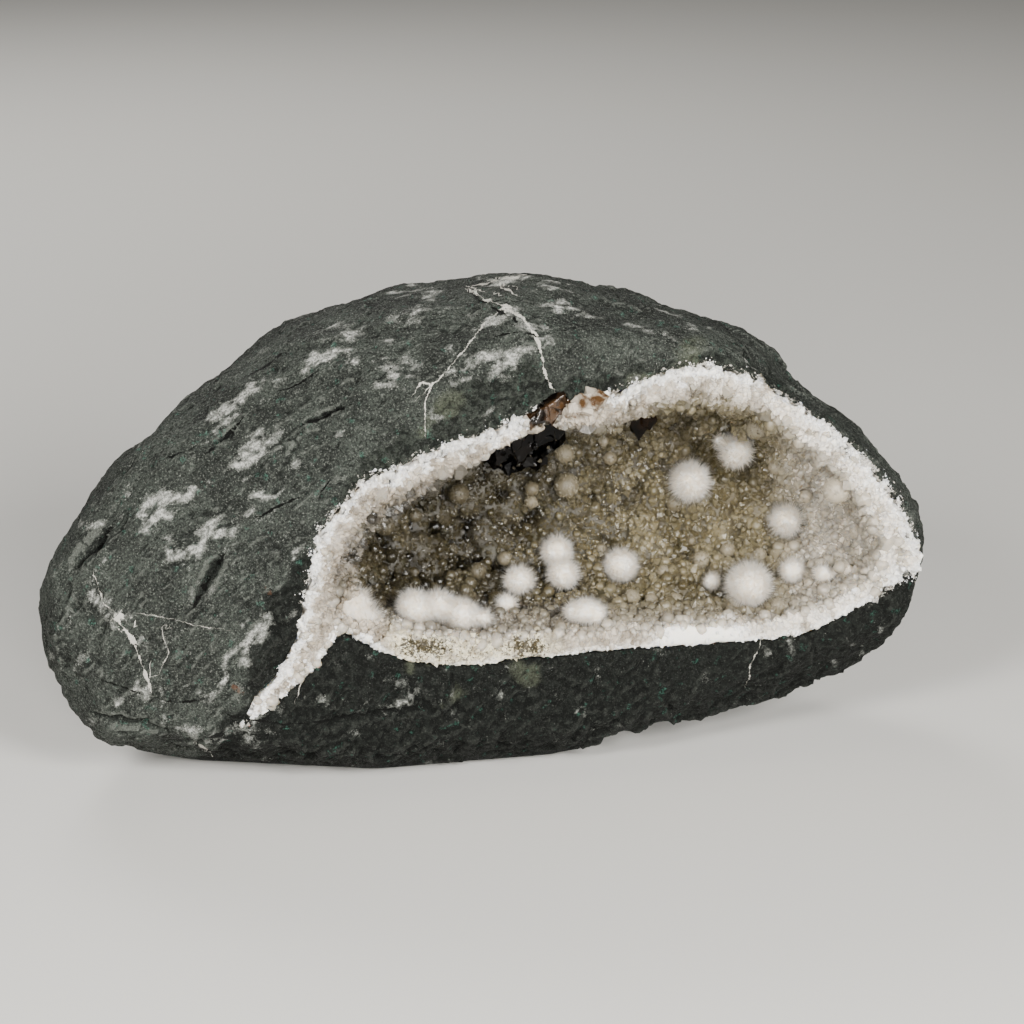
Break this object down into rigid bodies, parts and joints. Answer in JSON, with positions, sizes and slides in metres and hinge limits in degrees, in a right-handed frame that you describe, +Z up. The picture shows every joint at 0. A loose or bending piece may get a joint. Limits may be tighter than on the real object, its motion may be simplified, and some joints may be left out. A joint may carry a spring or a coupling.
{
  "type": "okenite puffballs in a basalt geode",
  "caption": "Rounded dark basalt nodule broken open on a pocket lined with white drusy quartz, in which fuzzy white okenite puffballs sit.",
  "frame": {"origin": "on the level of the resting face, under the middle of the nodule's box", "axes": "+Z up, +X along the nodule's length; the broken side with the pocket faces -Y"},
  "size_m": [0.1996, 0.1024, 0.109],
  "materials": {
    "basalt": "matt fine-grained rock",
    "quartz": "milky, glassy, sugary crystals",
    "okenite": "soft, silky, fibrous",
    "brown_calcite": "glassy, translucent",
    "black_calcite": "glassy, nearly opaque"
  },
  "bodies": {
    "root": {"basalt_nodule": "basalt", "quartz_crust": "quartz", "okenite_ball_wall_top": "okenite", "okenite_ball_wall_middle": "okenite", "okenite_ball_wall_right": "okenite", "okenite_ball_floor_large": "okenite", "okenite_ball_floor_small": "okenite", "okenite_ball_crease_right": "okenite", "okenite_ball_floor_right": "okenite", "okenite_ball_crease_middle": "okenite", "okenite_pair": "okenite", "okenite_ball_left": "okenite", "okenite_ball_left_small": "okenite", "okenite_ball_floor_front": "okenite", "okenite_cluster_left": "okenite", "okenite_half_ball_left": "okenite", "smoky_calcite_cluster": "brown_calcite", "dark_calcite_cluster": "black_calcite", "dark_calcite_rhomb": "brown_calcite"}
  },
  "joints": []
}
